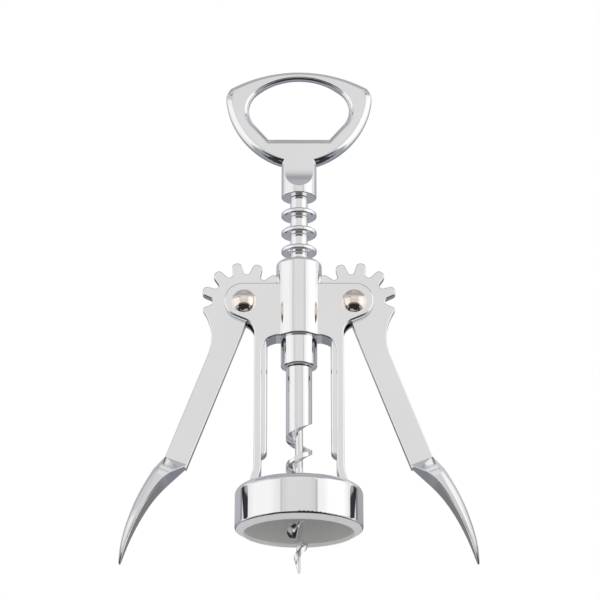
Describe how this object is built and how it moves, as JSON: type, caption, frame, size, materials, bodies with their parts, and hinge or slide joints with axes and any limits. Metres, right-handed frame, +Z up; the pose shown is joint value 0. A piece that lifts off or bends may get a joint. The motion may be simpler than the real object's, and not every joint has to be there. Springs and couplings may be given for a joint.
{
  "type": "wing corkscrew",
  "caption": "Chrome-plated wing corkscrew: bell base, ringed rack spindle with screw and cap-lifter loop handle, and geared lever arms with rounded wing pads.",
  "frame": {"origin": "centre of the bell's open mouth, in the plane of its lower rim; the screw's tip reaches below it", "axes": "+Z up along the screw towards the loop handle, -Y to the front, X across the two levers"},
  "size_m": [0.1226, 0.0442, 0.187],
  "materials": {
    "casting": "polished plating on die-cast zinc",
    "levers": "polished plating on die-cast zinc",
    "rivets": "polished, slightly warm plating on steel",
    "spindle": "polished plating on turned metal",
    "screw": "plated steel, a little duller in the groove",
    "handle": "polished plating on die-cast zinc"
  },
  "bodies": {
    "frame_body": {"frame": "casting", "rivet_left": "rivets", "rivet_right": "rivets"},
    "lever_left": {"lever_left": "levers"},
    "lever_right": {"lever_right": "levers"},
    "rack": {"rack_spindle": "spindle"},
    "screw": {"worm": "screw", "handle": "handle"}
  },
  "joints": [
    {"name": "lever_left_hinge", "type": "hinge", "parent": "frame_body", "child": "lever_left", "pos_m": [-0.01935, 0, 0.0829], "axis": [0, 1, 0], "range_deg": [-18, 140]},
    {"name": "lever_right_hinge", "type": "hinge", "parent": "frame_body", "child": "lever_right", "pos_m": [0.01935, 0, 0.0829], "axis": [0, -1, 0], "range_deg": [-18, 140]},
    {"name": "rack_slide", "type": "slide", "parent": "frame_body", "child": "rack", "axis": [0, 0, 1], "range_m": [-0.0323, 0.0042]},
    {"name": "screw_turn", "type": "hinge", "parent": "rack", "child": "screw", "pos_m": [0, 0, 0.1], "axis": [0, 0, 1], "continuous": true}
  ],
  "couplings": [
    {"joint": "lever_right_hinge", "follows": "lever_left_hinge", "ratio": 1},
    {"joint": "rack_slide", "follows": "lever_left_hinge", "m_per_rad": -0.013178}
  ]
}
